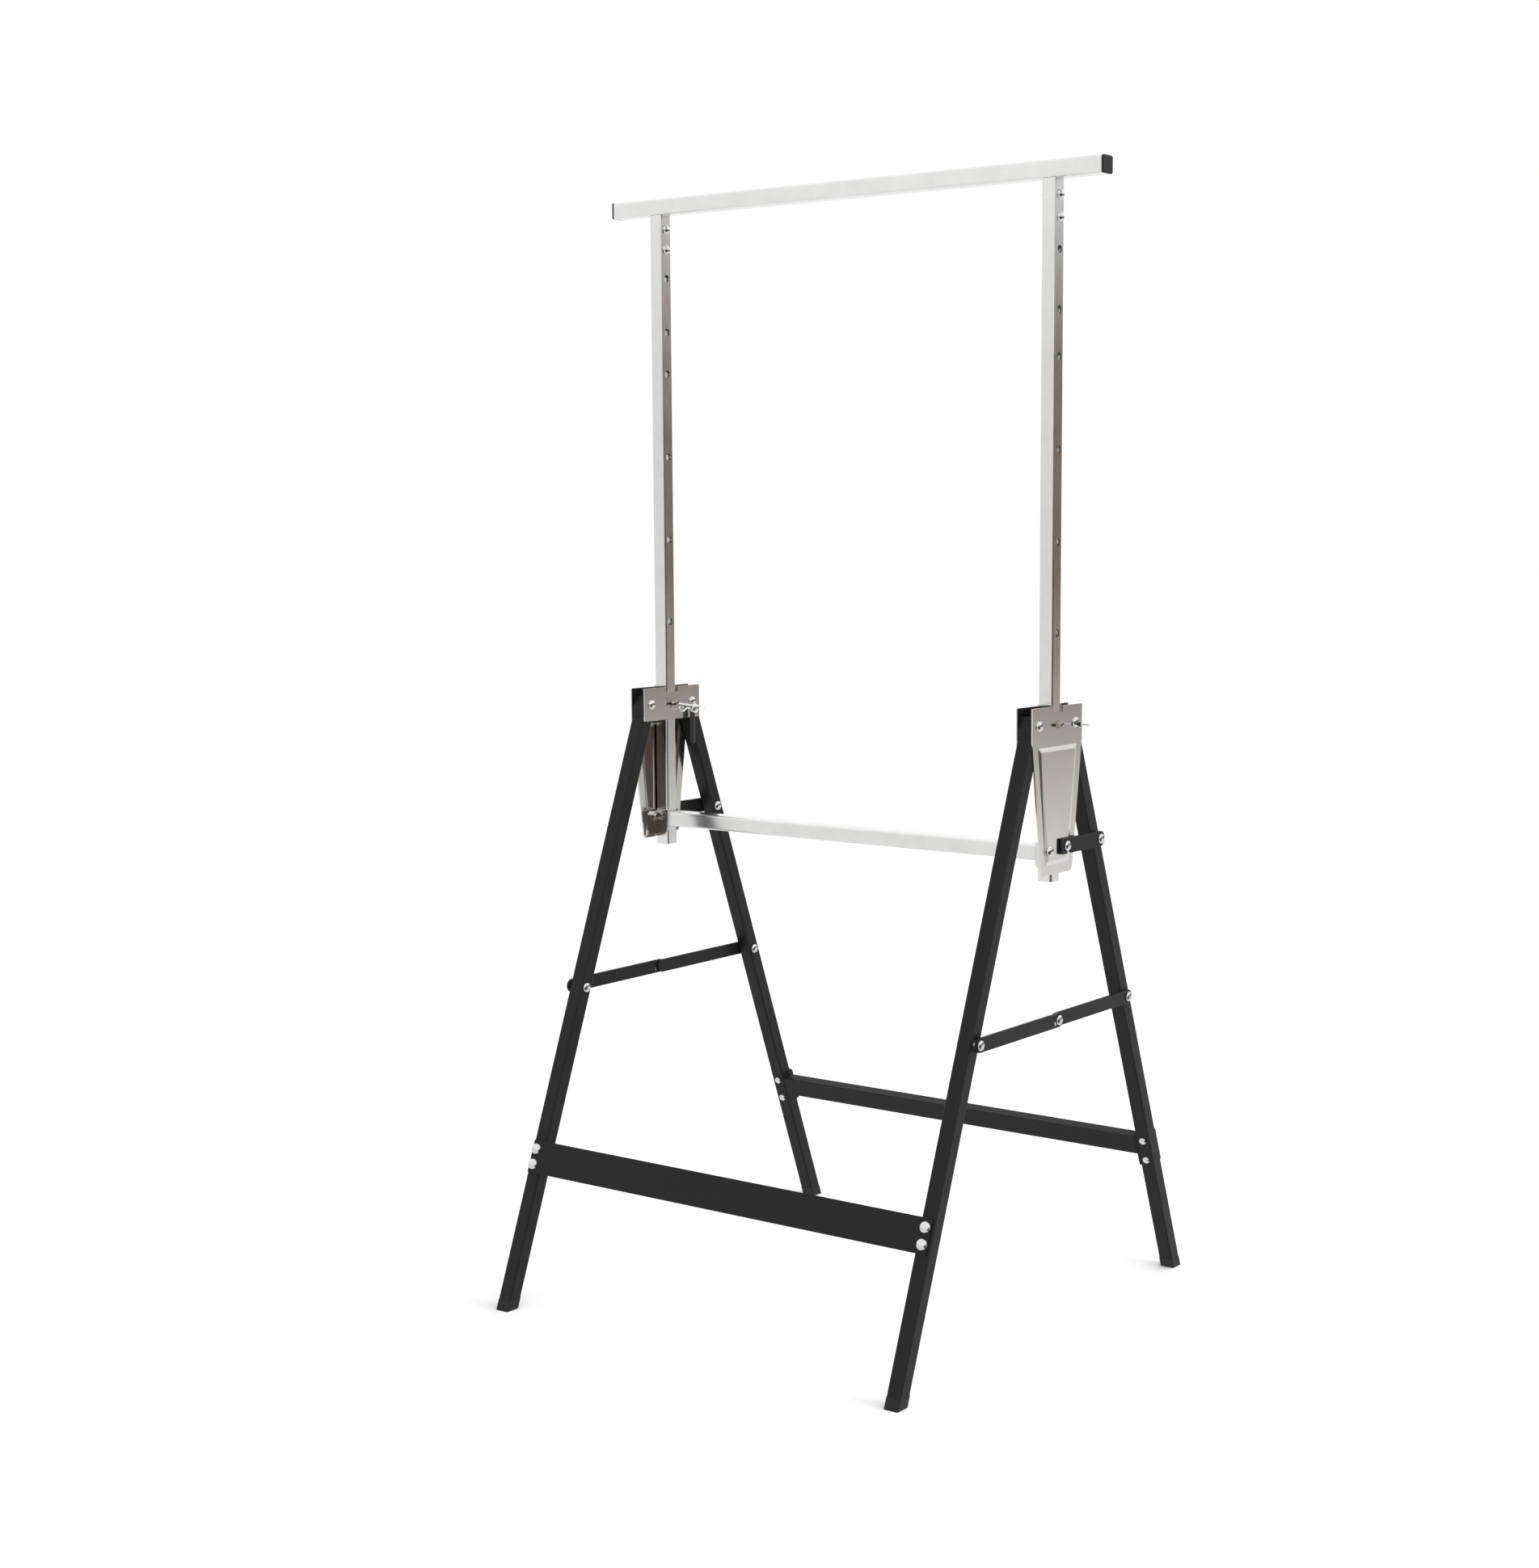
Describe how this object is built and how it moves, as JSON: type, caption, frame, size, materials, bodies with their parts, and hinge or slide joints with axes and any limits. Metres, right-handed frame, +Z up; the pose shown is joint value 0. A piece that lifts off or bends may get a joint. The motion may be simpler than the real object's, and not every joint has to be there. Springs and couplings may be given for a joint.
{
  "type": "folding sawhorse",
  "caption": "Folding steel sawhorse with splayed legs, folding side braces and a height-adjustable top bar on pin-locked telescopic masts.",
  "frame": {"origin": "on the floor, under the middle of the top bar, legs open and masts fully raised", "axes": "+X along the top bar, +Y from the kick plate's side to the back rail's side, +Z up"},
  "size_m": [0.69, 0.6136, 1.3],
  "materials": {
    "galvanised_tube": "bright zinc-plated square tube, satin",
    "plate_steel": "zinc-plated pressed sheet, satin",
    "black_paint": "black powder coat, semi-matt",
    "zinc_hardware": "bright zinc plate",
    "black_plastic": "moulded plastic, matt",
    "grey_strap": "soft moulded strap, matt"
  },
  "bodies": {
    "head": {"outer_plate_left": "plate_steel", "outer_plate_right": "plate_steel", "inner_plate_left": "plate_steel", "inner_plate_right": "plate_steel", "mast_guides_left": "plate_steel", "mast_guides_right": "plate_steel", "guide_bracket_left": "plate_steel", "guide_bracket_right": "plate_steel", "lower_crossbar": "galvanised_tube", "bracket_bolts": "zinc_hardware", "bracket_nuts": "zinc_hardware", "hinge_rivets_left": "zinc_hardware", "hinge_rivets_right": "zinc_hardware", "stay_stud_left": "zinc_hardware", "stay_stud_right": "zinc_hardware", "tether_stops": "black_plastic"},
    "front_leg_frame": {"front_leg_left": "black_paint", "front_leg_right": "black_paint", "front_leg_heads": "black_paint", "front_foot_left": "black_plastic", "front_foot_right": "black_plastic", "kick_plate": "black_paint", "kick_plate_bolts": "zinc_hardware", "kick_plate_nuts": "zinc_hardware", "front_brace_rivets": "zinc_hardware", "brace_spacers": "zinc_hardware"},
    "back_leg_frame": {"back_leg_left": "black_paint", "back_leg_right": "black_paint", "back_leg_heads": "black_paint", "back_foot_left": "black_plastic", "back_foot_right": "black_plastic", "back_rail": "black_paint", "rail_brackets": "black_paint", "rail_bolts": "zinc_hardware", "rail_nuts": "zinc_hardware", "back_brace_rivets": "zinc_hardware", "stay_rivets": "zinc_hardware", "stay_spacers": "zinc_hardware"},
    "front_brace_left": {"front_brace_left": "black_paint", "brace_centre_rivet_left": "zinc_hardware"},
    "front_brace_right": {"front_brace_right": "black_paint", "brace_centre_rivet_right": "zinc_hardware"},
    "back_brace_left": {"back_brace_left": "black_paint"},
    "back_brace_right": {"back_brace_right": "black_paint"},
    "stay_left": {"stay_left": "black_paint"},
    "stay_right": {"stay_right": "black_paint"},
    "mast_carriage": {"top_bar": "galvanised_tube", "bar_cap_left": "black_plastic", "bar_cap_right": "black_plastic", "mast_left": "galvanised_tube", "mast_right": "galvanised_tube", "mast_stubs": "galvanised_tube", "mast_bolts": "zinc_hardware"},
    "lock_pin_left": {"lock_pin_left": "zinc_hardware", "r_clip_left": "zinc_hardware", "pin_strap_left": "grey_strap"},
    "lock_pin_right": {"lock_pin_right": "zinc_hardware", "r_clip_right": "zinc_hardware", "pin_strap_right": "grey_strap"}
  },
  "joints": [
    {"name": "front_leg_fold", "type": "hinge", "parent": "head", "child": "front_leg_frame", "pos_m": [0, -0.0384, 0.692], "axis": [1, 0, 0], "range_deg": [0, 18.6]},
    {"name": "back_leg_fold", "type": "hinge", "parent": "head", "child": "back_leg_frame", "pos_m": [0, 0.0384, 0.692], "axis": [1, 0, 0], "range_deg": [-18.6, 0]},
    {"name": "mast_slide", "type": "slide", "parent": "head", "child": "mast_carriage", "axis": [0, 0, 1], "range_m": [-0.514, 0]},
    {"name": "front_brace_left_fold", "type": "hinge", "parent": "front_leg_frame", "child": "front_brace_left", "pos_m": [-0.288, -0.16166, 0.361], "axis": [1, 0, 0], "range_deg": [0, 53.52]},
    {"name": "back_brace_left_fold", "type": "hinge", "parent": "back_leg_frame", "child": "back_brace_left", "pos_m": [-0.288, 0.16166, 0.361], "axis": [1, 0, 0], "range_deg": [-53.52, 0]},
    {"name": "stay_left_fold", "type": "hinge", "parent": "back_leg_frame", "child": "stay_left", "pos_m": [-0.288, 0.08873, 0.5557], "axis": [1, 0, 0], "range_deg": [-71.41, 0]},
    {"name": "front_brace_right_fold", "type": "hinge", "parent": "front_leg_frame", "child": "front_brace_right", "pos_m": [0.288, -0.16166, 0.361], "axis": [1, 0, 0], "range_deg": [0, 53.52]},
    {"name": "back_brace_right_fold", "type": "hinge", "parent": "back_leg_frame", "child": "back_brace_right", "pos_m": [0.288, 0.16166, 0.361], "axis": [1, 0, 0], "range_deg": [-53.52, 0]},
    {"name": "stay_right_fold", "type": "hinge", "parent": "back_leg_frame", "child": "stay_right", "pos_m": [0.288, 0.08873, 0.5557], "axis": [1, 0, 0], "range_deg": [-71.41, 0]},
    {"name": "lock_pin_left_pull", "type": "slide", "parent": "head", "child": "lock_pin_left", "axis": [1, 0, 0], "range_m": [0, 0.055]},
    {"name": "lock_pin_right_pull", "type": "slide", "parent": "head", "child": "lock_pin_right", "axis": [-1, 0, 0], "range_m": [0, 0.055]}
  ],
  "couplings": [
    {"joint": "back_leg_fold", "follows": "front_leg_fold", "ratio": -1},
    {"joint": "front_brace_left_fold", "follows": "front_leg_fold", "ratio": 2.8771},
    {"joint": "back_brace_left_fold", "follows": "front_leg_fold", "ratio": -2.8771},
    {"joint": "stay_left_fold", "follows": "front_leg_fold", "ratio": -3.8387},
    {"joint": "front_brace_right_fold", "follows": "front_leg_fold", "ratio": 2.8771},
    {"joint": "back_brace_right_fold", "follows": "front_leg_fold", "ratio": -2.8771},
    {"joint": "stay_right_fold", "follows": "front_leg_fold", "ratio": -3.8387}
  ]
}
